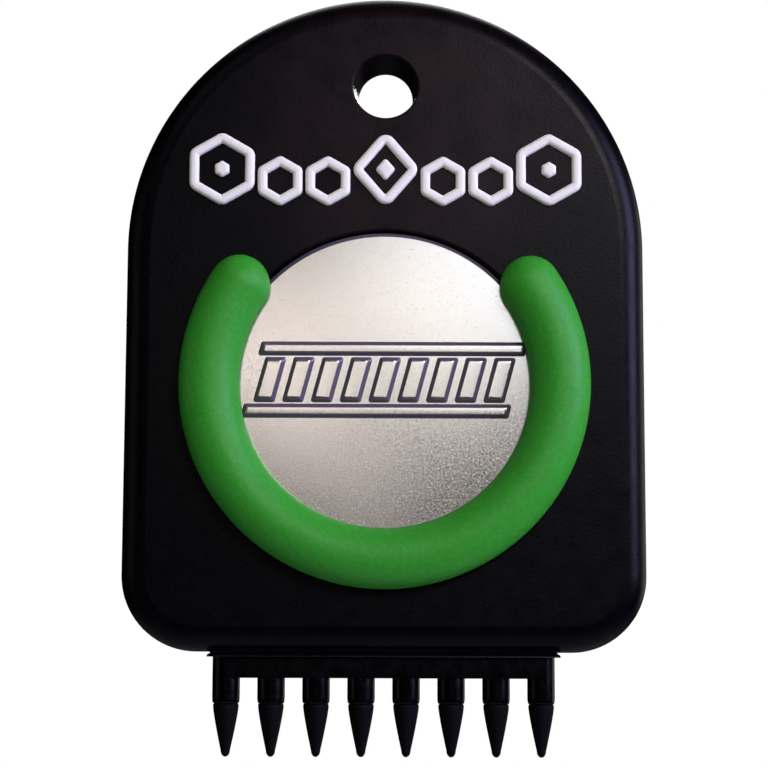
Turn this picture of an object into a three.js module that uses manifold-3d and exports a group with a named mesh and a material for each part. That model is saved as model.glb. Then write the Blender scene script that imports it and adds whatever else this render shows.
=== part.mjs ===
// Club groove brush: an arched rubber tag with a magnetic ball marker inside a soft horseshoe grip,
// and a row of pointed groove pins below. Millimetres. +Z up, the face towards -Y, the back towards +Y.
// The origin is the centre of the hang hole, in the body's middle plane.
import * as THREE from "three";
import { mergeVertices } from "three/addons/utils/BufferGeometryUtils.js";
import Module from "manifold-3d";

const wasm = await Module();
wasm.setup();

// Driving dimensions
const BODY = { width: 40.2, height: 51.2, thick: 4.5, edgeRadius: 2, cornerRadius: 5.8 };
const HOLE = { frontRadius: 2.5, backRadius: 2.15, rim: 0.15, belowApex: 7.45 };
const MARKER = { radius: 12.5, thick: 1.25, chamfer: 0.35, belowFace: 0.15, belowApex: 31.5 };
const MAGNET = { radius: 5, thick: 1.2 };
const GRIP = { radius: 13.4, halfWidth: 2.3, height: 2.95, sideHeight: 0.7, belowApex: 30.75 };
const GRIP_END = THREE.MathUtils.degToRad(33.8);
const FOOT = { inner: 13.9, outer: 15.1, depth: 1.1 };
const EMBLEM = { height: 5.9, smallHeight: 4.05, stroke: 0.75, belowApex: 14.1 };
const FIGURE = { sunk: 0.3, proud: 0.45, bevel: 0.15 };
const RELIEF = { bars: 9, pitch: 2.2, barWidth: 1.45, rail: 0.9, gap: 0.3, width: 21.6, height: 5.7 };
const RELIEF_BELOW_APEX = 30.5;
const STAMP = { proud: 0.3, sunk: 0.25, slope: 0.2, slant: 0.27 };
const PINS = { count: 8, pitch: 3.43, radius: 1.05, sleeveLength: 1.95, length: 5.95 };
const SLEEVE_ROUND = { length: 0.45, depth: 0.08 };
const PICK = { shoulder: 0.975, straight: 0.45, tipRadius: 0.36, tipLength: 0.5, edge: 0.12 };
const STEM = { radius: 0.55, length: 3.2 };
const LIP = { depth: 0.35, halfThick: 1.5, overhang: 0.4 };
const BAR = { drop: 1.6, rootHeight: 4.2, rootHalfThick: 0.9, rootInset: 0.6 };
const POST = { x: 6.2, radius: 1.1, aboveBase: 2.3 };

// Running and fitting clearances, and how far a cutting shape runs past what it cuts
const SLIP = 0.12;
const FIT = 0.05;
const PAST = 1;

// Levels worked out from the driving dimensions
const APEX = HOLE.belowApex;
const BASE = APEX - BODY.height;
const FACE = -BODY.thick / 2;
const BACK = BODY.thick / 2;
const ARCH = BODY.width / 2;
const MARKER_Z = APEX - MARKER.belowApex;
const MARKER_FACE = FACE + MARKER.belowFace;
const RECESS_FLOOR = MARKER_FACE + MARKER.thick + FIT;
const GRIP_Z = APEX - GRIP.belowApex;
const EMBLEM_Z = APEX - EMBLEM.belowApex;
const SMALL_Z = EMBLEM_Z - (EMBLEM.height - EMBLEM.smallHeight) / 2;
const RELIEF_Z = APEX - RELIEF_BELOW_APEX;
const LIP_BOTTOM = BASE - LIP.depth;
const BAR_BOTTOM = LIP_BOTTOM - BAR.drop;
const SLEEVE_END = BAR_BOTTOM - PINS.sleeveLength;
const PIN_TIP = BAR_BOTTOM - PINS.length;
const FIRST_PIN = (-PINS.pitch * (PINS.count - 1)) / 2;
const BAR_HALF_WIDTH = -FIRST_PIN + PINS.radius;
const CAP = new THREE.Vector2(Math.cos(GRIP_END), Math.sin(GRIP_END)).multiplyScalar(GRIP.radius);

const LOOK = {
  rubber: { color: 0x16151b, roughness: 0.75, metalness: 0 },
  grip: { color: 0x2f9a32, roughness: 0.6, metalness: 0 },
  steel: { color: 0xc9c2bb, roughness: 0.35, metalness: 1 },
  magnet: { color: 0xb8b9bc, roughness: 0.25, metalness: 1 },
  nylon: { color: 0x08080c, roughness: 0.3, metalness: 0 },
  pick: { color: 0x121217, roughness: 0.7, metalness: 0 },
  white: { color: 0xe9e8ea, roughness: 0.5, metalness: 0 },
};

// Solids: three.js geometry in, manifold solid out, and back again
function solid(geometry) {
  const bare = new THREE.BufferGeometry().setAttribute("position", geometry.getAttribute("position"));
  bare.setIndex(geometry.index);
  const merged = mergeVertices(bare, 1e-4);
  return new wasm.Manifold(
    new wasm.Mesh({
      numProp: 3,
      vertProperties: new Float32Array(merged.attributes.position.array),
      triVerts: new Uint32Array(merged.index.array),
    }),
  );
}

function geometryOf(manifold) {
  const mesh = manifold.getMesh();
  return new THREE.BufferGeometry()
    .setAttribute("position", new THREE.BufferAttribute(mesh.vertProperties, 3))
    .setIndex(new THREE.BufferAttribute(mesh.triVerts, 1));
}

const joined = (solids) => solids.reduce((all, next) => all.add(next));

// A shape drawn in X and Z, extruded from the back level to the front level along Y
function slab(shape, back, front, bevel = 0, bevelSegments = 1, curveSegments = 12) {
  const geometry = new THREE.ExtrudeGeometry(shape, {
    depth: back - front - 2 * bevel,
    bevelEnabled: bevel > 0,
    bevelThickness: bevel,
    bevelSize: bevel,
    bevelOffset: -bevel,
    bevelSegments,
    curveSegments,
  });
  return solid(geometry.rotateX(Math.PI / 2).translate(0, back - bevel, 0));
}

// A profile of [radius, y] points revolved round an axis along Y, at x, z
function turned(profile, x, z, segments) {
  const points = profile.map(([radius, y]) => new THREE.Vector2(radius, y));
  return solid(new THREE.LatheGeometry(points, segments).translate(x, 0, z));
}

function disc(radius, front, back, z, segments) {
  return turned([[0, front], [radius, front], [radius, back], [0, back]], 0, z, segments);
}

// A profile of [radius, z] points revolved round an axis along Z, at x
function post(profile, x, segments) {
  const points = profile.map(([radius, z]) => new THREE.Vector2(radius, z));
  return solid(new THREE.LatheGeometry(points, segments).rotateX(Math.PI / 2).translate(x, 0, 0));
}

function box(x0, x1, y0, y1, z0, z1) {
  const geometry = new THREE.BoxGeometry(x1 - x0, y1 - y0, z1 - z0);
  return solid(geometry.translate((x0 + x1) / 2, (y0 + y1) / 2, (z0 + z1) / 2));
}

// A closed polygon with each corner rounded off
function roundedPolygon(corners, radius, made = new THREE.Shape()) {
  corners.forEach((corner, i) => {
    const before = corners.at(i - 1);
    const after = corners[(i + 1) % corners.length];
    const from = corner.clone().add(before.clone().sub(corner).setLength(radius));
    const to = corner.clone().add(after.clone().sub(corner).setLength(radius));
    if (i === 0) made.moveTo(from.x, from.y);
    else made.lineTo(from.x, from.y);
    made.quadraticCurveTo(corner.x, corner.y, to.x, to.y);
  });
  made.closePath();
  return made;
}

// Points on an arc about x, z, from one angle to another in quarter turns
function arc(x, z, radius, from, to, steps) {
  return Array.from({ length: steps + 1 }, (_, i) => {
    const a = (Math.PI / 2) * (from + ((to - from) * i) / steps);
    return new THREE.Vector2(x + radius * Math.cos(a), z + radius * Math.sin(a));
  });
}

// The body: an arch on straight sides with rounded bottom corners
function bodyOutline() {
  const r = BODY.cornerRadius;
  return new THREE.Shape([
    ...arc(0, APEX - ARCH, ARCH, 0, 2, 32),
    ...arc(r - ARCH, BASE + r, r, 2, 3, 7),
    ...arc(ARCH - r, BASE + r, r, 3, 4, 7),
  ]);
}

// The hang hole, a little wider at the face, with its rims broken
function hangHole() {
  const { frontRadius, backRadius, rim } = HOLE;
  const profile = [
    [0, FACE - PAST],
    [frontRadius + rim, FACE - PAST],
    [frontRadius + rim, FACE],
    [frontRadius, FACE + rim],
    [backRadius, BACK - rim],
    [backRadius + rim, BACK],
    [backRadius + rim, BACK + PAST],
    [0, BACK + PAST],
  ];
  return turned(profile, 0, 0, 24);
}

// The open top of the horseshoe, cut away between its two end angles
function gripMouth(front, back) {
  const reach = 2 * GRIP.radius;
  const shape = new THREE.Shape();
  shape.moveTo(0, GRIP_Z);
  shape.lineTo((reach * CAP.x) / GRIP.radius, GRIP_Z + (reach * CAP.y) / GRIP.radius);
  shape.lineTo(0, GRIP_Z + 2 * reach);
  shape.lineTo((-reach * CAP.x) / GRIP.radius, GRIP_Z + (reach * CAP.y) / GRIP.radius);
  shape.closePath();
  return slab(shape, back, front);
}

// The horseshoe's foot, or with a clearance the channel that it sits in
function gripFoot(clearance) {
  const inner = FOOT.inner - clearance;
  const outer = FOOT.outer + clearance;
  const front = FACE - (clearance ? PAST : FIT);
  const back = FACE + FOOT.depth + clearance;
  const profile = [[inner, front], [outer, front], [outer, back], [inner, back], [inner, front]];
  const hoop = turned(profile, 0, GRIP_Z, 48);
  return hoop.subtract(gripMouth(front - PAST, back + PAST));
}

// Half of the horseshoe's section: upright side, then a quarter ellipse over the top
function gripHalfSection() {
  const steps = 4;
  const { halfWidth, height, sideHeight } = GRIP;
  const points = [[halfWidth, 0]];
  for (let i = 0; i <= steps; i++) {
    const a = ((Math.PI / 2) * i) / steps;
    points.push([halfWidth * Math.cos(a), sideHeight + (height - sideHeight) * Math.sin(a)]);
  }
  return points;
}

function gripRing() {
  const base = FACE - FIT;
  const half = gripHalfSection();
  const left = half.map(([w, h]) => [GRIP.radius + w, base - h]);
  const right = half.toReversed().slice(1).map(([w, h]) => [GRIP.radius - w, base - h]);
  const section = [...left, ...right, left[0]].reverse();
  const hoop = turned(section, 0, GRIP_Z, 48).subtract(gripMouth(base - GRIP.height - PAST, base + PAST));
  const dome = [[0, base], ...half.map(([w, h]) => [w, base - h])].reverse();
  const ends = [-1, 1].map((side) => turned(dome, side * CAP.x, GRIP_Z + CAP.y, 16));
  return joined([hoop, ...ends, gripFoot(0)]);
}

// Emblem: plain outlined hexagons and a diamond, each figure a raised moulding of its own
const FIGURES = [
  { name: "emblem_hexagon_left", x: -12.65, z: EMBLEM_Z, sides: 6, height: EMBLEM.height, open: true },
  { name: "emblem_stud_left", x: -12.65, z: EMBLEM_Z, sides: 6, height: 1.3 },
  { name: "emblem_cell_left_outer", x: -8.15, z: SMALL_Z, sides: 6, height: EMBLEM.smallHeight, open: true },
  { name: "emblem_cell_left_inner", x: -4.45, z: SMALL_Z, sides: 6, height: EMBLEM.smallHeight, open: true },
  { name: "emblem_diamond", x: 0, z: EMBLEM_Z, sides: 4, height: EMBLEM.height, open: true },
  { name: "emblem_lozenge", x: 0, z: EMBLEM_Z, sides: 4, height: 1.7 },
  { name: "emblem_cell_right_inner", x: 4.45, z: SMALL_Z, sides: 6, height: EMBLEM.smallHeight, open: true },
  { name: "emblem_cell_right_outer", x: 8.15, z: SMALL_Z, sides: 6, height: EMBLEM.smallHeight, open: true },
  { name: "emblem_hexagon_right", x: 12.65, z: EMBLEM_Z, sides: 6, height: EMBLEM.height, open: true },
  { name: "emblem_stud_right", x: 12.65, z: EMBLEM_Z, sides: 6, height: 1.3 },
];

// A regular polygon standing on a corner, its outline moved in by an inset (outwards when negative)
function figureShape({ x, z, sides, height }, inset, made) {
  const squeeze = sides === 4 ? 0.86 : 1;
  const reach = height / 2 - inset / Math.cos(Math.PI / sides);
  const corners = Array.from({ length: sides }, (_, i) => {
    const a = Math.PI / 2 + (2 * Math.PI * i) / sides;
    return new THREE.Vector2(x + squeeze * reach * Math.cos(a), z + reach * Math.sin(a));
  });
  return roundedPolygon(corners, 0.2 * reach, made);
}

function figureOutline(figure, clearance) {
  const shape = figureShape(figure, -clearance);
  if (figure.open) shape.holes.push(figureShape(figure, EMBLEM.stroke + clearance, new THREE.Path()));
  return shape;
}

const emblemFigure = (figure) =>
  slab(figureOutline(figure, 0), FACE + FIGURE.sunk, FACE - FIGURE.proud, FIGURE.bevel, 1, 2);

const emblemPocket = (figure) =>
  slab(figureOutline(figure, FIT), FACE + FIGURE.sunk + FIT, FACE - PAST, 0, 1, 2);

function body() {
  const edge = BODY.edgeRadius;
  const blank = slab(bodyOutline(), BACK, FACE, edge, 3);
  const lipHalf = BAR_HALF_WIDTH + LIP.overhang;
  const lip = box(-lipHalf, lipHalf, -LIP.halfThick, LIP.halfThick, LIP_BOTTOM, BASE + edge);
  const cuts = [
    hangHole(),
    disc(MARKER.radius + SLIP, FACE - PAST, RECESS_FLOOR, MARKER_Z, 56),
    disc(MAGNET.radius + FIT, FACE - PAST, RECESS_FLOOR + MAGNET.thick + 2 * FIT, MARKER_Z, 24),
    gripFoot(FIT),
    barRoot(FIT),
    ...FIGURES.map(emblemPocket),
  ];
  return cuts.reduce((left, cut) => left.subtract(cut), blank.add(lip));
}

// A ball marker: a stamped disc with a row of slanted bars between two rails in relief
function slantedBar(x, z, width, height) {
  const lean = (STAMP.slant * height) / 2;
  const shape = new THREE.Shape();
  shape.moveTo(x - width / 2 - lean, z - height / 2);
  shape.lineTo(x + width / 2 - lean, z - height / 2);
  shape.lineTo(x + width / 2 + lean, z + height / 2);
  shape.lineTo(x - width / 2 + lean, z + height / 2);
  shape.closePath();
  return slab(shape, MARKER_FACE + STAMP.sunk, MARKER_FACE - STAMP.proud, STAMP.slope);
}

function ballMarker() {
  const { radius, thick, chamfer } = MARKER;
  const profile = [
    [0, MARKER_FACE],
    [radius - chamfer, MARKER_FACE],
    [radius, MARKER_FACE + chamfer],
    [radius, MARKER_FACE + thick],
    [0, MARKER_FACE + thick],
  ];
  const railZ = (RELIEF.height - RELIEF.rail) / 2;
  const barHeight = RELIEF.height - 2 * (RELIEF.rail + RELIEF.gap);
  const shift = STAMP.slant * railZ;
  const rails = [-1, 1].map((side) =>
    slantedBar(side * shift, RELIEF_Z + side * railZ, RELIEF.width - 2 * shift, RELIEF.rail),
  );
  const bars = Array.from({ length: RELIEF.bars }, (_, i) =>
    slantedBar((i - (RELIEF.bars - 1) / 2) * RELIEF.pitch, RELIEF_Z, RELIEF.barWidth, barHeight),
  );
  return joined([turned(profile, 0, MARKER_Z, 56), ...rails, ...bars]);
}

function markerMagnet() {
  return disc(MAGNET.radius, RECESS_FLOOR + FIT, RECESS_FLOOR + FIT + MAGNET.thick, MARKER_Z, 24);
}

// The bar's root inside the body, with two holes that posts of the body's rubber fill
function barRoot(clearance) {
  const halfWidth = BAR_HALF_WIDTH - BAR.rootInset + clearance;
  const halfThick = BAR.rootHalfThick + clearance;
  const top = BASE + BAR.rootHeight + clearance;
  const blank = box(-halfWidth, halfWidth, -halfThick, halfThick, LIP_BOTTOM - FIT, top);
  const holes = [-1, 1].map((side) => {
    const radius = POST.radius - clearance;
    const through = halfThick + PAST;
    const profile = [[0, -through], [radius, -through], [radius, through], [0, through]];
    return turned(profile, side * POST.x, BASE + POST.aboveBase, 14);
  });
  return holes.reduce((left, hole) => left.subtract(hole), blank);
}

// A bar as thick as a sleeve, its ends round like the end sleeves
function barBlock() {
  const shape = new THREE.Shape();
  shape.absarc(-FIRST_PIN, 0, PINS.radius, -Math.PI / 2, Math.PI / 2, false);
  shape.absarc(FIRST_PIN, 0, PINS.radius, Math.PI / 2, 1.5 * Math.PI, false);
  shape.closePath();
  const depth = BAR.drop - FIT;
  const geometry = new THREE.ExtrudeGeometry(shape, { depth, bevelEnabled: false, curveSegments: 7 });
  return solid(geometry.translate(0, 0, BAR_BOTTOM));
}

const pinX = (i) => FIRST_PIN + i * PINS.pitch;

// A round sleeve under the bar, its lower end eased in
function sleeve(i) {
  const { radius } = PINS;
  const { length, depth } = SLEEVE_ROUND;
  const top = BAR_BOTTOM + BAR.drop / 2;
  const profile = [
    [0, SLEEVE_END],
    [radius - depth, SLEEVE_END],
    [radius - depth / 3, SLEEVE_END + length / 3],
    [radius, SLEEVE_END + length],
    [radius, top],
    [0, top],
  ];
  return post(profile, pinX(i), 14);
}

function pinBore(i) {
  const top = SLEEVE_END + STEM.length + FIT;
  const radius = STEM.radius + FIT;
  const below = SLEEVE_END - PAST;
  return post([[0, below], [radius, below], [radius, top], [0, top]], pinX(i), 10);
}

function pinBar() {
  const each = Array.from({ length: PINS.count }, (_, i) => i);
  const blank = joined([barRoot(0), barBlock(), ...each.map(sleeve)]);
  return each.map(pinBore).reduce((left, bore) => left.subtract(bore), blank);
}

// A pick: a blunt cone under a short straight shoulder, on a stem that is pressed up its sleeve
function groovePin(i) {
  const { shoulder, straight, tipRadius, tipLength, edge } = PICK;
  const top = SLEEVE_END - FIT;
  const stemTop = SLEEVE_END + STEM.length;
  const profile = [
    [0, PIN_TIP],
    [tipRadius * 0.6, PIN_TIP + tipLength * 0.2],
    [tipRadius, PIN_TIP + tipLength],
    [shoulder, top - straight],
    [shoulder, top - edge],
    [shoulder - edge, top],
    [STEM.radius, top],
    [STEM.radius, stemTop],
    [0, stemTop],
  ];
  return post(profile, pinX(i), 12);
}

const group = new THREE.Group();

function piece(name, manifold, look) {
  const mesh = new THREE.Mesh(geometryOf(manifold), new THREE.MeshStandardMaterial(look));
  mesh.name = name;
  group.add(mesh);
}

piece("body", body(), LOOK.rubber);
piece("grip_ring", gripRing(), LOOK.grip);
piece("ball_marker", ballMarker(), LOOK.steel);
piece("marker_magnet", markerMagnet(), LOOK.magnet);
piece("pin_bar", pinBar(), LOOK.nylon);
for (let i = 0; i < PINS.count; i++) piece(`groove_pin_${i + 1}`, groovePin(i), LOOK.pick);
for (const figure of FIGURES) piece(figure.name, emblemFigure(figure), LOOK.white);

export default group;
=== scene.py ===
"""The looks of a club groove brush: an arched rubber tag with a steel ball marker inside a soft green
horseshoe, white raised figures and a row of pointed picks. Shapes are in millimetres, in the CAD frame:
+Z up, the face towards -Y, the origin in the middle of the hang hole."""

import math

import bmesh
import bpy
from mathutils import Matrix, Vector


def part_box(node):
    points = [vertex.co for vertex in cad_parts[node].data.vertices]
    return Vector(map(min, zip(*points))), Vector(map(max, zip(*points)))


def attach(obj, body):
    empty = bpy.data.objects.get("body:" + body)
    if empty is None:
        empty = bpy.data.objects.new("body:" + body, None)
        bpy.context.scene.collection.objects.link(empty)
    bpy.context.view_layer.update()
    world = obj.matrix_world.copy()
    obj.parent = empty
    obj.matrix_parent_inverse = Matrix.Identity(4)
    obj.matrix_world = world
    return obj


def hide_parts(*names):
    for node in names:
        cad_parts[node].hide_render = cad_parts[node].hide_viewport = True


MM = 0.001
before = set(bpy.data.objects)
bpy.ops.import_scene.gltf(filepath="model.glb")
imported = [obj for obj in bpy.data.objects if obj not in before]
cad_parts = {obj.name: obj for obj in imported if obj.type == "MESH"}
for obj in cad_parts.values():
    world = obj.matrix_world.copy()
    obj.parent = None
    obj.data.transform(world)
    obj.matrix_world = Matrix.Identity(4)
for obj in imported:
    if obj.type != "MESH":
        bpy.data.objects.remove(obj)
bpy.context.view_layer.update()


# ---------------------------------------------------------------- sizes, from the frame where it has them

def box_mm(node):
    """Lowest and highest corner of a CAD node, in millimetres."""
    low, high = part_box(node)
    return low / MM, high / MM


def middle_mm(node):
    low, high = box_mm(node)
    return (low + high) / 2


BODY_LOW, BODY_HIGH = box_mm("body")
HALF_WIDTH = BODY_HIGH.x
APEX = BODY_HIGH.z
FACE = BODY_LOW.y
BACK = BODY_HIGH.y
LIP_DROP = 0.35
LIP_BOTTOM = BODY_LOW.z
BASE = LIP_BOTTOM + LIP_DROP
EDGE_RADIUS = 2.0
CORNER_RADIUS = 5.8

HOLE_FRONT_RADIUS = 2.5
HOLE_BACK_RADIUS = 2.15
HOLE_RIM = 0.15

MARKER_LOW, MARKER_HIGH = box_mm("ball_marker")
MARKER_RADIUS = (MARKER_HIGH.x - MARKER_LOW.x) / 2
MARKER_Z = middle_mm("ball_marker").z
RELIEF_HEIGHT = 0.3
MARKER_FACE = MARKER_LOW.y + RELIEF_HEIGHT
MARKER_BACK = MARKER_HIGH.y
RECESS_PLAY = 0.12
RECESS_RIM = 0.16
RECESS_CORNER = 0.1
RECESS_FLOOR = MARKER_BACK + 0.05

MAGNET_LOW, MAGNET_HIGH = box_mm("marker_magnet")
MAGNET_RADIUS = (MAGNET_HIGH.x - MAGNET_LOW.x) / 2
POCKET_PLAY = 0.05
POCKET_RIM = 0.05

GRIP_LOW, GRIP_HIGH = box_mm("grip_ring")
GRIP_HALF_WIDTH = 2.3
GRIP_RADIUS = GRIP_HIGH.x - GRIP_HALF_WIDTH
GRIP_Z = GRIP_LOW.z + GRIP_HIGH.x
GRIP_END = math.radians(33.8)
GRIP_FRONT = GRIP_LOW.y
GRIP_SIDE = 0.7

BAR_LOW, BAR_HIGH = box_mm("pin_bar")
SLEEVE_END = BAR_LOW.z
SLEEVE_LENGTH = 1.95
BAR_BOTTOM = SLEEVE_END + SLEEVE_LENGTH
PIN_RADIUS = (BAR_HIGH.y - BAR_LOW.y) / 2
PINS = [f"groove_pin_{i}" for i in range(1, 9)]

FIGURES = {
    "emblem_hexagon_left": (6, True),
    "emblem_stud_left": (6, False),
    "emblem_cell_left_outer": (6, True),
    "emblem_cell_left_inner": (6, True),
    "emblem_diamond": (4, True),
    "emblem_lozenge": (4, False),
    "emblem_cell_right_inner": (6, True),
    "emblem_cell_right_outer": (6, True),
    "emblem_hexagon_right": (6, True),
    "emblem_stud_right": (6, False),
}


# ---------------------------------------------------------------- camera

AIM = Vector((-0.05, -0.5, -23.17)) * MM
DISTANCE = 150 * MM
PITCH = math.radians(6.89)
ROLL = math.radians(0.21)
FIELD_OF_VIEW = math.radians(22.42)


def make_camera():
    """A close camera that looks up at the object from a little below, as the photograph does."""
    data = bpy.data.cameras.new("camera")
    data.angle = FIELD_OF_VIEW
    data.clip_start = 10 * MM
    camera = bpy.data.objects.new("camera", data)
    bpy.context.collection.objects.link(camera)
    camera.location = AIM + DISTANCE * Vector((0, -math.cos(PITCH), -math.sin(PITCH)))
    level = Matrix.Rotation(math.radians(90) + PITCH, 4, "X")
    camera.rotation_euler = (level @ Matrix.Rotation(ROLL, 4, "Z")).to_euler()
    bpy.context.scene.camera = camera
    bpy.context.scene.view_settings.view_transform = "Standard"


# ---------------------------------------------------------------- mesh kit

class Skin:
    """Collects loops of points and the faces between them, in millimetres."""

    def __init__(self):
        self.bm = bmesh.new()

    def loop(self, points):
        return [self.bm.verts.new(Vector(p) * MM) for p in points]

    def bridge(self, first, second, closed=True):
        count = len(first)
        for i in range(count if closed else count - 1):
            j = (i + 1) % count
            self.bm.faces.new((first[i], first[j], second[j], second[i]))

    def loft(self, rows, closed=True):
        """Joins each row of points to the next, and returns the first and the last loop."""
        loops = [self.loop(row) for row in rows]
        for first, second in zip(loops, loops[1:]):
            self.bridge(first, second, closed)
        return loops[0], loops[-1]

    def fill(self, *loops):
        """One flat area between an outer loop and any holes in it."""
        edges = []
        for loop in loops:
            for a, b in zip(loop, [*loop[1:], loop[0]]):
                edges.append(self.bm.edges.get((a, b)) or self.bm.edges.new((a, b)))
        bmesh.ops.triangle_fill(self.bm, use_beauty=True, edges=edges)

    def crease(self, loop):
        """Keeps the shading crisp along a loop."""
        for a, b in zip(loop, [*loop[1:], loop[0]]):
            self.bm.edges.get((a, b)).smooth = False

    def fan(self, loop, point):
        """Closes a loop with triangles to one point."""
        tip = self.bm.verts.new(Vector(point) * MM)
        for a, b in zip(loop, [*loop[1:], loop[0]]):
            self.bm.faces.new((a, b, tip))

    def mesh(self, name):
        bmesh.ops.remove_doubles(self.bm, verts=self.bm.verts, dist=1e-4 * MM)
        bmesh.ops.recalc_face_normals(self.bm, faces=self.bm.faces)
        made = bpy.data.meshes.new(name)
        self.bm.to_mesh(made)
        self.bm.free()
        return made


def as_object(name, mesh):
    made = bpy.data.objects.new(name, mesh)
    bpy.context.collection.objects.link(made)
    return made


def combined(base, others, operation):
    """Gives the base object the result of a boolean with each of the others, which are then removed."""
    for other in others:
        modifier = base.modifiers.new("cut", "BOOLEAN")
        modifier.operation = operation
        modifier.solver = "EXACT"
        modifier.object = other
    depsgraph = bpy.context.evaluated_depsgraph_get()
    mesh = bpy.data.meshes.new_from_object(base.evaluated_get(depsgraph))
    base.modifiers.clear()
    base.data = mesh
    for other in others:
        bpy.data.objects.remove(other)
    return base


SHARP_ANGLE = math.radians(38)
FACE_AREA_WEIGHT = 90


def finish_piece(made, material, body, slot, *nodes):
    """Smooth shading with true flats and crisp edges, then the material and the place in the frame."""
    bm = bmesh.new()
    bm.from_mesh(made.data)
    for face in bm.faces:
        face.smooth = True
    for edge in bm.edges:
        edge.smooth = edge.smooth and (len(edge.link_faces) != 2 or edge.calc_face_angle(0) < SHARP_ANGLE)
    bm.to_mesh(made.data)
    bm.free()
    weighted = made.modifiers.new("true flats", "WEIGHTED_NORMAL")
    weighted.keep_sharp = True
    weighted.weight = FACE_AREA_WEIGHT
    made.data.materials.clear()
    made.data.materials.append(material)
    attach(made, body)
    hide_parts(*nodes)
    return made


def turned_rows(profile, x, z, steps):
    """Rows of points: each [radius, y] of the profile turned round an axis along Y."""
    turns = [2 * math.pi * i / steps for i in range(steps)]
    return [[(x + r * math.cos(a), y, z + r * math.sin(a)) for a in turns] for r, y in profile]


def post_rows(profile, x, steps):
    """Rows of points: each [radius, z] of the profile turned round an axis along Z."""
    turns = [2 * math.pi * i / steps for i in range(steps)]
    return [[(x + r * math.cos(a), r * math.sin(a), z) for a in turns] for r, z in profile]


def quarter(steps):
    """Pairs from (0, 0) to (1, 1) along a quarter of a circle that starts steep."""
    turns = [math.pi / 2 * i / steps for i in range(steps + 1)]
    return [(1 - math.cos(a), math.sin(a)) for a in turns]


# ---------------------------------------------------------------- outlines

def arc(x, z, radius, start, end, steps):
    """Points on an arc, from one angle to another in degrees, both ends in."""
    turns = [math.radians(start + (end - start) * i / steps) for i in range(steps + 1)]
    return [(x + radius * math.cos(a), z + radius * math.sin(a)) for a in turns]


ARCH_STEPS = 128
CORNER_STEPS = 20


def tag_outline(inset):
    """The arch on straight sides with rounded bottom corners, moved in by an inset."""
    arch_z = APEX - HALF_WIDTH
    corner_x = HALF_WIDTH - CORNER_RADIUS
    corner_z = BASE + CORNER_RADIUS
    return [
        *arc(0, arch_z, HALF_WIDTH - inset, 0, 180, ARCH_STEPS),
        *arc(-corner_x, corner_z, CORNER_RADIUS - inset, 180, 270, CORNER_STEPS),
        *arc(corner_x, corner_z, CORNER_RADIUS - inset, 270, 360, CORNER_STEPS),
    ]


def moved_in(corners, inset):
    """A convex polygon, its corners counter-clockwise, with every side moved in by an inset."""
    moved = []
    for before, corner, after in zip([corners[-1], *corners], corners, [*corners[1:], corners[0]]):
        coming = (corner - before).normalized()
        going = (after - corner).normalized()
        inward = Vector((-coming.y - going.y, coming.x + going.x)).normalized()
        moved.append(corner + inward * inset / inward.dot(Vector((-coming.y, coming.x))))
    return moved


def rounded(corners, radius, steps):
    """A convex polygon, its corners counter-clockwise, with each corner turned into an arc."""
    points = []
    centres = moved_in(corners, radius)
    for before, corner, after, centre in zip(
        [corners[-1], *corners], corners, [*corners[1:], corners[0]], centres
    ):
        start = math.atan2(before.x - corner.x, corner.y - before.y)
        end = math.atan2(corner.x - after.x, after.y - corner.y)
        if end < start:
            end += 2 * math.pi
        for i in range(steps + 1):
            a = start + (end - start) * i / steps
            points.append((centre.x + radius * math.cos(a), centre.y + radius * math.sin(a)))
    return points


def at_y(outline, y):
    return [(x, y, z) for x, z in outline]


# ---------------------------------------------------------------- materials

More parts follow.
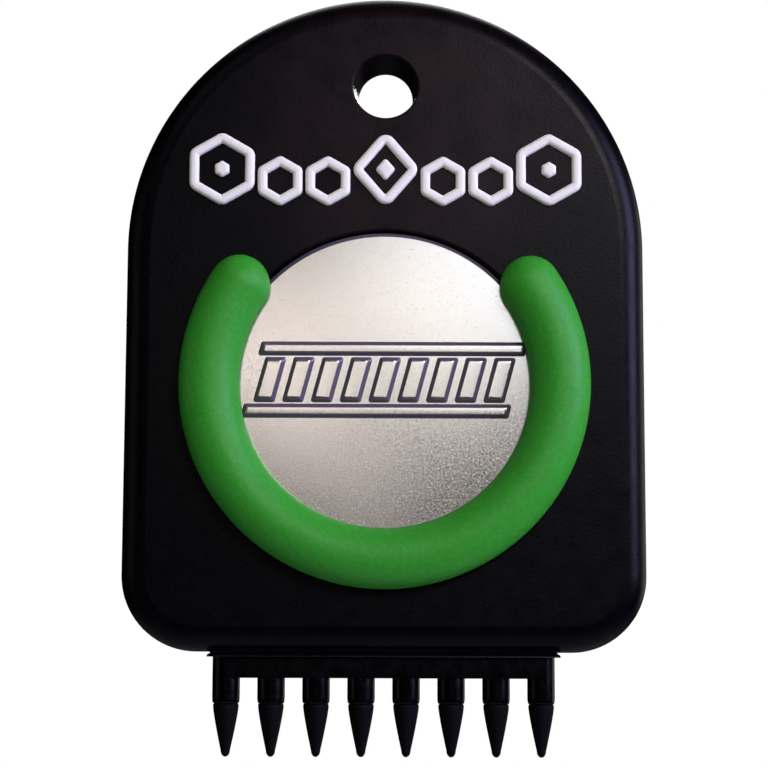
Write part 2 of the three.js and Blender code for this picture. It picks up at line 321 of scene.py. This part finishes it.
class Finish:
    """A node material: one Principled shader fed by object-space texture."""

    def __init__(self, name, **values):
        self.material = bpy.data.materials.new(name)
        self.material.use_nodes = True
        self.nodes = self.material.node_tree.nodes
        self.links = self.material.node_tree.links
        self.shader = self.nodes["Principled BSDF"]
        for key, value in values.items():
            self.shader.inputs[key.replace("_", " ")].default_value = value
        self.texture_place = self.nodes.new("ShaderNodeTexCoord")
        self.place = self.texture_place.outputs["Object"]
        self.normal = None

    def stretched(self, scale):
        node = self.nodes.new("ShaderNodeMapping")
        node.inputs["Scale"].default_value = scale
        self.links.new(self.place, node.inputs["Vector"])
        return node.outputs["Vector"]

    def noise(self, size_mm, detail=3.0, rough=0.55, place=None):
        """Soft clouds about size_mm across, from 0 to 1."""
        node = self.nodes.new("ShaderNodeTexNoise")
        node.inputs["Scale"].default_value = 1 / (size_mm * MM)
        node.inputs["Detail"].default_value = detail
        node.inputs["Roughness"].default_value = rough
        self.links.new(place or self.place, node.inputs["Vector"])
        return node.outputs["Fac"]

    def near(self, centre_mm, inner_mm, outer_mm):
        """1 within inner_mm of a point, easing to 0 at outer_mm."""
        node = self.nodes.new("ShaderNodeVectorMath")
        node.operation = "DISTANCE"
        node.inputs[1].default_value = Vector(centre_mm) * MM
        self.links.new(self.place, node.inputs[0])
        return self.ramp(node.outputs["Value"], inner_mm * MM, 1.0, outer_mm * MM, 0.0)

    def ramp(self, value, high_at, high, low_at, low):
        """Maps a value from low_at..high_at onto low..high, smoothly and clamped."""
        node = self.nodes.new("ShaderNodeMapRange")
        node.interpolation_type = "SMOOTHSTEP"
        node.inputs["From Min"].default_value = low_at
        node.inputs["From Max"].default_value = high_at
        node.inputs["To Min"].default_value = low
        node.inputs["To Max"].default_value = high
        self.links.new(value, node.inputs["Value"])
        return node.outputs["Result"]

    def facing(self):
        """How squarely the surface faces forwards or backwards: 1 on a true flat, 0 on its sides."""
        split = self.nodes.new("ShaderNodeSeparateXYZ")
        self.links.new(self.texture_place.outputs["Normal"], split.inputs["Vector"])
        size = self.nodes.new("ShaderNodeMath")
        size.operation = "ABSOLUTE"
        self.links.new(split.outputs["Y"], size.inputs[0])
        return size.outputs["Value"]

    def product(self, first, second):
        node = self.nodes.new("ShaderNodeMath")
        node.operation = "MULTIPLY"
        self.links.new(first, node.inputs[0])
        self.links.new(second, node.inputs[1])
        return node.outputs["Value"]

    def colours(self, factor, first, second):
        node = self.nodes.new("ShaderNodeMix")
        node.data_type = "RGBA"
        sockets = {s.identifier: s for s in node.inputs}
        for key, colour in (("A_Color", first), ("B_Color", second)):
            if isinstance(colour, tuple):
                sockets[key].default_value = (*colour, 1)
            else:
                self.links.new(colour, sockets[key])
        self.links.new(factor, sockets["Factor_Float"])
        return next(s for s in node.outputs if s.identifier == "Result_Color")

    def base(self, colour):
        self.links.new(colour, self.shader.inputs["Base Color"])

    def rough(self, value):
        self.links.new(value, self.shader.inputs["Roughness"])

    def bump(self, height, depth_mm):
        """Raises the surface by up to depth_mm where height is 1."""
        node = self.nodes.new("ShaderNodeBump")
        node.inputs["Strength"].default_value = 1.0
        node.inputs["Distance"].default_value = depth_mm * MM
        self.links.new(height, node.inputs["Height"])
        if self.normal is not None:
            self.links.new(self.normal, node.inputs["Normal"])
        self.normal = node.outputs["Normal"]
        self.links.new(self.normal, self.shader.inputs["Normal"])


def black_rubber():
    """Soft-touch black rubber with a fine dusty sparkle, handled brown round the hole and the figures."""
    finish = Finish("black rubber", IOR=1.45, Specular_IOR_Level=0.10)
    dust = finish.ramp(finish.noise(0.28, 4.0, 0.7), 0.72, 1.0, 0.5, 0.0)
    clouds = finish.noise(6.0, 3.0)
    skin = finish.colours(clouds, (0.0003, 0.0003, 0.0010), (0.0006, 0.0005, 0.0014))
    dusty = finish.colours(dust, skin, (0.0022, 0.0018, 0.0030))
    blotches = finish.ramp(finish.noise(3.5, 4.0, 0.6), 0.60, 1.0, 0.30, 0.25)
    handled = finish.product(finish.near((1.5, FACE, -4.0), 6.0, 15.0), blotches)
    finish.base(finish.colours(handled, dusty, (0.0100, 0.0050, 0.0056)))
    finish.rough(finish.ramp(finish.noise(1.4, 4.0), 0.75, 0.38, 0.25, 0.30))
    finish.bump(finish.noise(0.22, 3.0, 0.6), 0.012)
    finish.bump(finish.noise(5.0, 2.0), 0.03)
    return finish.material


def green_rubber():
    """Silky green silicone with soft cloudy colour."""
    finish = Finish("green silicone", IOR=1.42, Specular_IOR_Level=0.35, Subsurface_Weight=0.3)
    finish.shader.inputs["Subsurface Radius"].default_value = (0.4, 1.0, 0.3)
    finish.shader.inputs["Subsurface Scale"].default_value = 1.2 * MM
    clouds = finish.noise(3.0, 4.0)
    skin = finish.colours(clouds, (0.025, 0.280, 0.014), (0.034, 0.315, 0.021))
    grain = finish.ramp(finish.noise(0.35, 3.0, 0.7), 0.75, 1.0, 0.4, 0.0)
    finish.base(finish.colours(grain, skin, (0.040, 0.345, 0.029)))
    finish.rough(finish.ramp(finish.noise(0.9, 3.0), 0.75, 0.58, 0.25, 0.46))
    finish.bump(finish.noise(0.3, 3.0), 0.008)
    finish.bump(finish.noise(2.6, 2.0), 0.03)
    return finish.material


def white_rubber():
    """White moulded rubber, satin, a little uneven."""
    finish = Finish("white rubber", IOR=1.45, Specular_IOR_Level=0.4)
    clouds = finish.noise(0.9, 4.0)
    finish.base(finish.colours(clouds, (0.86, 0.86, 0.75), (0.92, 0.92, 0.80)))
    finish.rough(finish.ramp(finish.noise(0.4, 3.0), 0.75, 0.65, 0.25, 0.5))
    finish.bump(finish.noise(0.25, 3.0), 0.008)
    return finish.material


def blasted_steel():
    """Fine bead-blasted nickel steel, with painted shade: the stamped steps and the chamfer are painted a
    dark, non-metal colour wherever the surface turns away from the face.
    """
    finish = Finish("blasted steel")
    flecks = finish.noise(0.16, 4.0, 0.7)
    clouds = finish.noise(4.0, 3.0)
    plate = finish.colours(clouds, (0.47, 0.435, 0.40), (0.52, 0.485, 0.45))
    bare = finish.colours(finish.ramp(flecks, 0.62, 1.0, 0.38, 0.0), plate, (0.63, 0.595, 0.56))
    squareness = finish.facing()
    off_flat = finish.ramp(squareness, 0.985, 0.0, 0.90, 1.0)
    off_wall = finish.ramp(squareness, 0.30, 1.0, 0.15, 0.0)
    # painted shade: every slope of the relief and the chamfer gets a dark, non-metal colour, chosen by which
    # way it faces
    painted_slope_shade = finish.product(off_flat, off_wall)
    finish.base(finish.colours(painted_slope_shade, bare, (0.110, 0.094, 0.122)))
    finish.links.new(finish.ramp(painted_slope_shade, 1.0, 0.1, 0.2, 1.0), finish.shader.inputs["Metallic"])
    finish.rough(finish.ramp(flecks, 0.70, 0.28, 0.35, 0.14))
    finish.bump(flecks, 0.0018)
    return finish.material


def bright_nickel():
    """Nickel plate on a turned magnet, with faint rings and rubs."""
    finish = Finish("bright nickel", Metallic=1.0)
    clouds = finish.noise(1.2, 4.0)
    finish.base(finish.colours(clouds, (0.58, 0.57, 0.55), (0.68, 0.67, 0.65)))
    rubs = finish.noise(0.5, 4.0, 0.7, finish.stretched((0.2, 1.0, 1.6)))
    finish.rough(finish.ramp(rubs, 0.75, 0.34, 0.25, 0.16))
    finish.bump(rubs, 0.003)
    return finish.material


def gloss_nylon():
    """Black nylon as it leaves a polished mould."""
    finish = Finish("gloss nylon", IOR=1.5, Specular_IOR_Level=0.15)
    clouds = finish.noise(1.0, 3.0)
    finish.base(finish.colours(clouds, (0.0002, 0.0002, 0.0008), (0.0004, 0.0004, 0.0012)))
    finish.rough(finish.ramp(clouds, 0.75, 0.30, 0.25, 0.20))
    finish.bump(finish.noise(0.5, 2.0), 0.006)
    return finish.material


def matt_nylon():
    """Black nylon from a spark-eroded mould: an even fine grain."""
    finish = Finish("matt nylon", IOR=1.5, Specular_IOR_Level=0.09)
    clouds = finish.noise(0.6, 3.0)
    finish.base(finish.colours(clouds, (0.0004, 0.0004, 0.0011), (0.0009, 0.0009, 0.0018)))
    finish.rough(finish.ramp(finish.noise(0.3, 3.0), 0.75, 0.75, 0.25, 0.6))
    finish.bump(finish.noise(0.14, 3.0, 0.7), 0.02)
    return finish.material


def pale_floor():
    """A pale floor that is bright to look at but throws little light up at the object."""
    finish = Finish("pale floor", Roughness=0.9)
    path = finish.nodes.new("ShaderNodeLightPath")
    finish.shader.inputs["Emission Color"].default_value = (0.62, 0.62, 0.63, 1)
    finish.links.new(path.outputs["Is Camera Ray"], finish.shader.inputs["Emission Strength"])
    finish.base(finish.colours(finish.noise(60.0, 2.0), (0.80, 0.80, 0.80), (0.83, 0.83, 0.83)))
    return finish.material


# ---------------------------------------------------------------- the body

EDGE_STEPS = 10
HOLE_STEPS = 96
RECESS_STEPS = 192


LIP_OVERHANG = 0.4
LIP_HALF_THICK = 1.5
LIP_CORNER = 0.6
LIP_FLARE = 0.25


def lip():
    """The low rubber lip round the pin bar, under the body, flared a little at its foot."""
    half_length = BAR_HIGH.x + LIP_OVERHANG
    corners = [Vector(c) for c in (
        (-half_length, -LIP_HALF_THICK), (half_length, -LIP_HALF_THICK),
        (half_length, LIP_HALF_THICK), (-half_length, LIP_HALF_THICK),
    )]
    rows = [[(x, y, LIP_BOTTOM + EDGE_RADIUS) for x, y in rounded(corners, LIP_CORNER, 6)]]
    for down, out in quarter(5):
        inset = LIP_FLARE * (1 - out)
        outline = rounded(moved_in(corners, inset), LIP_CORNER - inset, 6)
        rows.append([(x, y, LIP_BOTTOM + LIP_FLARE * (1 - down)) for x, y in outline])
    skin = Skin()
    top, bottom = skin.loft(rows)
    skin.fill(top)
    skin.fill(bottom)
    return as_object("lip", skin.mesh("lip"))


def tag_body():
    """The rubber tag with its round edges, its bore, the marker's recess and the magnet's pocket."""
    skin = Skin()
    flat_half = -FACE - EDGE_RADIUS
    edge = [(EDGE_RADIUS * a, flat_half + EDGE_RADIUS * b) for a, b in quarter(EDGE_STEPS)]
    rows = [at_y(tag_outline(inset), y) for inset, y in reversed(edge)]
    rows += [at_y(tag_outline(inset), -y) for inset, y in edge]
    back, front = skin.loft(rows)

    bore = [(HOLE_FRONT_RADIUS + HOLE_RIM * (1 - b), FACE + HOLE_RIM * a) for a, b in quarter(5)]
    bore += [(HOLE_BACK_RADIUS + HOLE_RIM * (1 - b), BACK - HOLE_RIM * a) for a, b in reversed(quarter(5))]
    bore_front, bore_back = skin.loft(turned_rows(bore, 0, 0, HOLE_STEPS))

    radius = MARKER_RADIUS + RECESS_PLAY
    well = [(radius + RECESS_RIM * (1 - b), FACE + RECESS_RIM * a) for a, b in quarter(4)]
    well += [(radius, RECESS_FLOOR - RECESS_CORNER), (radius - RECESS_CORNER, RECESS_FLOOR)]
    pocket_radius = MAGNET_RADIUS + POCKET_PLAY
    pocket = [
        (pocket_radius + POCKET_RIM, RECESS_FLOOR),
        (pocket_radius, RECESS_FLOOR + POCKET_RIM),
        (pocket_radius, MAGNET_HIGH.y + POCKET_PLAY),
    ]
    well_rim = skin.loft(turned_rows([*well, pocket[0]], 0, MARKER_Z, RECESS_STEPS))[0]
    pocket_floor = skin.loft(turned_rows(pocket, 0, MARKER_Z, RECESS_STEPS))[1]
    skin.fan(pocket_floor, (0, pocket[-1][1], MARKER_Z))

    skin.fill(front, bore_front, well_rim)
    skin.fill(back, bore_back)
    for rim_loop in (front, back, bore_front, bore_back, well_rim):
        skin.crease(rim_loop)
    made = as_object("tag_body", skin.mesh("tag_body"))
    return combined(made, [lip()], "UNION")


# ---------------------------------------------------------------- the soft horseshoe

GRIP_SUNK = 0.02
GRIP_STEPS = 220
DOME_STEPS = 40
SECTION_STEPS = 16


def grip_half_section():
    """Half of the horseshoe's section: [offset, height] up the side and over to the top."""
    height = FACE - GRIP_FRONT
    half = [(GRIP_HALF_WIDTH, -GRIP_SUNK), (GRIP_HALF_WIDTH, GRIP_SIDE / 2)]
    for i in range(SECTION_STEPS + 1):
        a = math.pi / 2 * i / SECTION_STEPS
        half.append((GRIP_HALF_WIDTH * math.cos(a), GRIP_SIDE + (height - GRIP_SIDE) * math.sin(a)))
    return half


def soft_horseshoe():
    """The section swept round its arc, closed by a dome at each end and by a flat base."""
    half = grip_half_section()
    section = half + [(-w, h) for w, h in reversed(half[:-1])]
    skin = Skin()
    rows = []
    for i in range(GRIP_STEPS + 1):
        a = GRIP_END - (math.pi + 2 * GRIP_END) * i / GRIP_STEPS
        rows.append([
            ((GRIP_RADIUS + w) * math.cos(a), FACE - h, GRIP_Z + (GRIP_RADIUS + w) * math.sin(a))
            for w, h in section
        ])
    skin.loft(rows, closed=False)
    for side in (1, -1):
        end = GRIP_END if side == 1 else math.pi - GRIP_END
        x, z = GRIP_RADIUS * math.cos(end), GRIP_Z + GRIP_RADIUS * math.sin(end)
        dome = []
        for i in range(DOME_STEPS + 1):
            a = end + side * math.pi * i / DOME_STEPS
            dome.append([(x + w * math.cos(a), FACE - h, z + w * math.sin(a)) for w, h in half])
        skin.loft(dome, closed=False)
    bmesh.ops.remove_doubles(skin.bm, verts=skin.bm.verts, dist=1e-3 * MM)
    rim = [e for e in skin.bm.edges if len(e.link_faces) == 1]
    bmesh.ops.triangle_fill(skin.bm, use_beauty=True, edges=rim)
    return as_object("soft_horseshoe", skin.mesh("soft_horseshoe"))


# ---------------------------------------------------------------- the ball marker

RELIEF_Z = APEX - 30.5
RELIEF_BARS = 9
RELIEF_PITCH = 2.2
RELIEF_BAR_WIDTH = 1.45
RELIEF_RAIL = 0.9
RELIEF_GAP = 0.3
RELIEF_WIDTH = 21.6
RELIEF_BAND = 5.7
RELIEF_SLANT = 0.27
RELIEF_SLOPE = 0.33
RELIEF_FOOT = 0.10
RELIEF_PROFILE = [(0.0, 0.0), (0.45, 0.5), (0.72, 0.85), (0.88, 0.97), (1.0, 1.0)]
RELIEF_CORNER = 0.14
RELIEF_FOOT_CORNER = 0.20

MARKER_CHAMFER = 0.35
MARKER_BACK_EDGE = 0.1
BEAD_RADIUS = 0.07
BEAD_INSET = 0.02
BEAD_START = 0.06
BEAD_END = 0.05


def slanted(x, z, width, height):
    """A parallelogram's corners, counter-clockwise as seen from the back."""
    lean = RELIEF_SLANT * height / 2
    return [
        Vector((x - width / 2 - lean, z - height / 2)),
        Vector((x + width / 2 - lean, z - height / 2)),
        Vector((x + width / 2 + lean, z + height / 2)),
        Vector((x - width / 2 + lean, z + height / 2)),
    ]


def relief_islands():
    """The outlines of the raised rails and of the slanted bars between them."""
    rail_z = (RELIEF_BAND - RELIEF_RAIL) / 2
    shift = RELIEF_SLANT * rail_z
    bar_height = RELIEF_BAND - 2 * (RELIEF_RAIL + RELIEF_GAP)
    rails = [
        slanted(side * shift, RELIEF_Z + side * rail_z, RELIEF_WIDTH - 2 * shift, RELIEF_RAIL)
        for side in (-1, 1)
    ]
    bars = [
        slanted((i - (RELIEF_BARS - 1) / 2) * RELIEF_PITCH, RELIEF_Z, RELIEF_BAR_WIDTH, bar_height)
        for i in range(RELIEF_BARS)
    ]
    return rails + bars


def marker_disc():
    """A disc with a stamped relief, chamfered down to a small bead round its side."""
    skin = Skin()
    chamfer_end = MARKER_FACE + MARKER_CHAMFER
    edge = [(MARKER_RADIUS - MARKER_CHAMFER, MARKER_FACE)]
    edge += [
        (MARKER_RADIUS - BEAD_RADIUS * (1 - b) - BEAD_INSET, chamfer_end - BEAD_START + BEAD_RADIUS * a)
        for a, b in quarter(3)
    ]
    edge += [
        (MARKER_RADIUS, chamfer_end + BEAD_END),
        (MARKER_RADIUS, MARKER_BACK - MARKER_BACK_EDGE),
        (MARKER_RADIUS - MARKER_BACK_EDGE, MARKER_BACK),
    ]
    front, back = skin.loft(turned_rows(edge, 0, MARKER_Z, RECESS_STEPS))
    skin.fill(back)
    feet = []
    for corners in relief_islands():
        rows = []
        for inward, up in RELIEF_PROFILE:
            inset = RELIEF_SLOPE * inward - RELIEF_FOOT
            radius = RELIEF_FOOT_CORNER + (RELIEF_CORNER - RELIEF_FOOT_CORNER) * inward
            rows.append(at_y(rounded(moved_in(corners, inset), radius, 4), MARKER_FACE - RELIEF_HEIGHT * up))
        foot, top = skin.loft(rows)
        skin.fill(top)
        feet.append(foot)
    skin.fill(front, *feet)
    for loop in (front, *feet):
        skin.crease(loop)
    return as_object("marker_disc", skin.mesh("marker_disc"))


MAGNET_CHAMFER = 0.15
MAGNET_STEPS = 96


def magnet_disc():
    skin = Skin()
    profile = [
        (MAGNET_RADIUS - MAGNET_CHAMFER, MAGNET_LOW.y),
        (MAGNET_RADIUS, MAGNET_LOW.y + MAGNET_CHAMFER),
        (MAGNET_RADIUS, MAGNET_HIGH.y - MAGNET_CHAMFER),
        (MAGNET_RADIUS - MAGNET_CHAMFER, MAGNET_HIGH.y),
    ]
    front, back = skin.loft(turned_rows(profile, 0, MARKER_Z, MAGNET_STEPS))
    skin.fill(front)
    skin.fill(back)
    return as_object("magnet_disc", skin.mesh("magnet_disc"))


# ---------------------------------------------------------------- the white figures

STROKE = 0.75
FIGURE_SUNK = 0.3
FIGURE_PROUD = 0.45
CROWN = 0.3
FIGURE_SOFTNESS = 0.26
INNER_CORNER = 0.12
DIAMOND_SQUEEZE = 0.86


def regular(x, z, sides, reach, squeeze):
    """A regular polygon standing on a corner, narrowed by a squeeze, counter-clockwise."""
    turns = [math.pi / 2 + 2 * math.pi * i / sides for i in range(sides)]
    return [Vector((x + squeeze * reach * math.cos(a), z + reach * math.sin(a))) for a in turns]


def figure(node):
    """An outlined or a solid polygon with soft corners and a rounded crown, set into the face."""
    sides, is_open = FIGURES[node]
    low, high = box_mm(node)
    centre = (low + high) / 2
    squeeze = DIAMOND_SQUEEZE if sides == 4 else 1.0
    half_tip = math.atan(squeeze * math.tan(math.pi / 2 - math.pi / sides))
    reach = (high.z - low.z) / 2 / (1 - FIGURE_SOFTNESS * (1 / math.sin(half_tip) - 1))
    corners = regular(centre.x, centre.z, sides, reach, squeeze)
    corner_radius = FIGURE_SOFTNESS * reach
    crown = [(CROWN * a, FACE - FIGURE_PROUD + CROWN * (1 - b)) for a, b in quarter(6)]
    rise = [(0.0, FACE + FIGURE_SUNK), *crown]

    def outline(inset, y):
        return at_y(rounded(moved_in(corners, inset), max(corner_radius - inset, INNER_CORNER), 8), y)

    skin = Skin()
    rows = [outline(inset, y) for inset, y in rise]
    if is_open:
        rows += [outline(STROKE - inset, y) for inset, y in reversed(rise)]
        skin.loft([*rows, rows[0]])
    else:
        base, top = skin.loft(rows)
        skin.fill(top)
        skin.fill(base)
    return as_object(node + "_figure", skin.mesh(node))


# ---------------------------------------------------------------- the pin bar and the picks

BAR_IN_LIP = 0.6
BAR_FILLET = 0.12


def bar_block():
    """The bar that carries the sleeves: as thick as a sleeve, its ends round, its lower edge broken."""
    first = middle_mm(PINS[0]).x
    last = middle_mm(PINS[-1]).x

    def stadium(inset, z):
        radius = PIN_RADIUS - inset
        points = arc(last, 0, radius, -90, 90, 16) + arc(first, 0, radius, 90, 270, 16)
        return [(x, y, z) for x, y in points]

    rows = [stadium(0, LIP_BOTTOM + BAR_IN_LIP)]
    rows += [stadium(BAR_FILLET * a, BAR_BOTTOM + BAR_FILLET * (1 - b)) for a, b in quarter(4)]
    skin = Skin()
    upper, lower = skin.loft(rows)
    skin.fill(upper)
    skin.fill(lower)
    return as_object("bar_block", skin.mesh("bar_block"))


SLEEVE_IN_BAR = 0.5
EASE_LENGTH = 0.45
EASE_DEPTH = 0.08
SLEEVE_EDGE = 0.05
SLEEVE_STEPS = 48


def sleeve(x):
    """A round sleeve under the bar, its lower end eased in and then broken."""
    profile = [(PIN_RADIUS, BAR_BOTTOM + SLEEVE_IN_BAR)]
    profile += [
        (PIN_RADIUS - EASE_DEPTH * a, SLEEVE_END + SLEEVE_EDGE + EASE_LENGTH * (1 - b))
        for a, b in quarter(6)
    ]
    profile.append((PIN_RADIUS - EASE_DEPTH - SLEEVE_EDGE, SLEEVE_END))
    skin = Skin()
    top, bottom = skin.loft(post_rows(profile, x, SLEEVE_STEPS))
    skin.fill(top)
    skin.fill(bottom)
    return as_object("sleeve", skin.mesh("sleeve"))


def bar_moulding():
    return combined(bar_block(), [sleeve(middle_mm(pin).x) for pin in PINS], "UNION")


PICK_SHOULDER = 0.975
PICK_STRAIGHT = 0.45
PICK_EDGE = 0.08
PICK_TIP_RADIUS = 0.36
PICK_TIP_LENGTH = 0.5
PICK_STEM = 0.55
PICK_GAP = 0.02
CONE_OVERLAP = 0.2
CONE_SWELL = 1.18
CONE_STEPS = 12
TIP_STEPS = 6
PICK_STEPS = 40


def pick(node):
    """A blunt cone under a short straight shoulder, on a stem that goes up its sleeve."""
    low, high = box_mm(node)
    x = (low.x + high.x) / 2
    top = SLEEVE_END - PICK_GAP
    cone_top = top - PICK_STRAIGHT + CONE_OVERLAP
    cone_bottom = low.z + PICK_TIP_LENGTH
    profile = [(PICK_STEM, high.z), (PICK_STEM, top), (PICK_SHOULDER - PICK_EDGE, top)]
    profile += [(PICK_SHOULDER - PICK_EDGE * (1 - b), top - PICK_EDGE * a) for a, b in quarter(3)[1:]]
    for i in range(CONE_STEPS + 1):
        t = i / CONE_STEPS
        radius = PICK_SHOULDER + (PICK_TIP_RADIUS - PICK_SHOULDER) * t ** CONE_SWELL
        profile.append((radius, cone_top + (cone_bottom - cone_top) * t))
    profile += [
        (PICK_TIP_RADIUS * math.cos(a), cone_bottom - PICK_TIP_LENGTH * math.sin(a))
        for a in (math.pi / 2 * i / TIP_STEPS for i in range(1, TIP_STEPS))
    ]
    skin = Skin()
    upper, lower = skin.loft(post_rows(profile, x, PICK_STEPS))
    skin.fill(upper)
    skin.fan(lower, (x, 0, low.z))
    return as_object(node.replace("groove_pin", "pick"), skin.mesh(node))


# ---------------------------------------------------------------- light

def area_light(name, place, size, power, colour=(1.0, 1.0, 1.0), spin=0.0):
    """A soft light that looks at the object: round, or a panel where size is its length and width."""
    data = bpy.data.lights.new(name, "AREA")
    if isinstance(size, tuple):
        data.shape = "RECTANGLE"
        data.size, data.size_y = size
    else:
        data.shape = "DISK"
        data.size = size
    data.energy = power
    data.color = colour
    light = bpy.data.objects.new(name, data)
    bpy.context.collection.objects.link(light)
    light.location = place
    towards = (AIM - Vector(place)).to_track_quat("-Z", "Y").to_matrix().to_4x4()
    light.rotation_euler = (towards @ Matrix.Rotation(spin, 4, "Z")).to_euler()
    light.visible_camera = False


ROOM_STRENGTH = 0.004


def make_world():
    """White to the camera, and a dim even light to the object."""
    world = bpy.data.worlds.new("world")
    bpy.context.scene.world = world
    world.use_nodes = True
    nodes, links = world.node_tree.nodes, world.node_tree.links
    room = nodes["Background"]
    room.inputs["Color"].default_value = (1.0, 1.0, 1.0, 1)
    room.inputs["Strength"].default_value = ROOM_STRENGTH
    seen = nodes.new("ShaderNodeBackground")
    seen.inputs["Color"].default_value = (1.0, 1.0, 1.0, 1)
    seen.inputs["Strength"].default_value = 1.0
    path = nodes.new("ShaderNodeLightPath")
    either = nodes.new("ShaderNodeMixShader")
    links.new(path.outputs["Is Camera Ray"], either.inputs["Fac"])
    links.new(room.outputs["Background"], either.inputs[1])
    links.new(seen.outputs["Background"], either.inputs[2])
    links.new(either.outputs["Shader"], nodes["World Output"].inputs["Surface"])


FLOOR_HALF = 600
FLOOR_LEVEL = -330


def make_floor():
    """A pale floor well below the object."""
    skin = Skin()
    corners = ((-1, -1), (1, -1), (1, 1), (-1, 1))
    skin.bm.faces.new(skin.loop([(FLOOR_HALF * x, FLOOR_HALF * y, FLOOR_LEVEL) for x, y in corners]))
    floor = as_object("floor", skin.mesh("floor"))
    floor.data.materials.append(pale_floor())


PANEL_DISTANCE = 0.30
PANEL_HEIGHT = 0.01
PANEL_SLANT = math.radians(42)


def mirror_panel(name, across, along, size, power, colour):
    """A slanted panel behind the camera, where the flat marker mirrors it: its middle is across and along
    the slant, in metres, from the point that the middle of the marker mirrors."""
    x = along * math.cos(PANEL_SLANT) - across * math.sin(PANEL_SLANT)
    z = along * math.sin(PANEL_SLANT) + across * math.cos(PANEL_SLANT) + PANEL_HEIGHT
    area_light(name, (x, -PANEL_DISTANCE, z), size, power, colour, -PANEL_SLANT)


def make_lights():
    """A bluish key and a warm window from the right, weak fills, two lights for the back, and the panels
    that the marker mirrors."""
    area_light("key", (0.32, -0.16, 0.08), 0.22, 1.7, (0.57, 0.56, 1.0))
    area_light("window", (0.11, -0.29, 0.11), 0.10, 0.49, (1.0, 0.88, 0.91))
    area_light("fill", (-0.18, -0.24, 0.22), 0.20, 0.07)
    area_light("left", (-0.36, -0.10, 0.02), 0.25, 0.07)
    area_light("top", (0.0, 0.28, 0.33), 0.30, 0.5)
    area_light("back", (0.34, 0.22, 0.0), 0.30, 0.25)
    area_light("behind", (0.02, 0.35, 0.11), 0.09, 0.5)
    mirror_panel("panel_low", 0.007, -0.020, (0.060, 0.022), 0.0048, (1.0, 0.95, 0.92))
    mirror_panel("panel_middle", 0.007, 0.022, (0.050, 0.034), 0.0135, (1.0, 0.98, 0.93))
    mirror_panel("panel_high", 0.004, 0.066, (0.060, 0.060), 0.027, (0.55, 0.74, 1.0))
    mirror_panel("panel_left", 0.034, -0.014, (0.050, 0.026), 0.0085, (1.0, 0.94, 0.90))


# ---------------------------------------------------------------- the scene

make_camera()
make_world()
make_floor()
make_lights()

finish_piece(tag_body(), black_rubber(), "tag", "rubber_black", "body")
finish_piece(soft_horseshoe(), green_rubber(), "tag", "rubber_green", "grip_ring")
finish_piece(marker_disc(), blasted_steel(), "marker", "marker_steel", "ball_marker")
finish_piece(magnet_disc(), bright_nickel(), "tag", "magnet_nickel", "marker_magnet")
finish_piece(bar_moulding(), gloss_nylon(), "tag", "nylon_gloss", "pin_bar")
pick_material = matt_nylon()
for pin in PINS:
    finish_piece(pick(pin), pick_material, "tag", "nylon_matt", pin)
figure_material = white_rubber()
for node in FIGURES:
    finish_piece(figure(node), figure_material, "tag", "rubber_white", node)
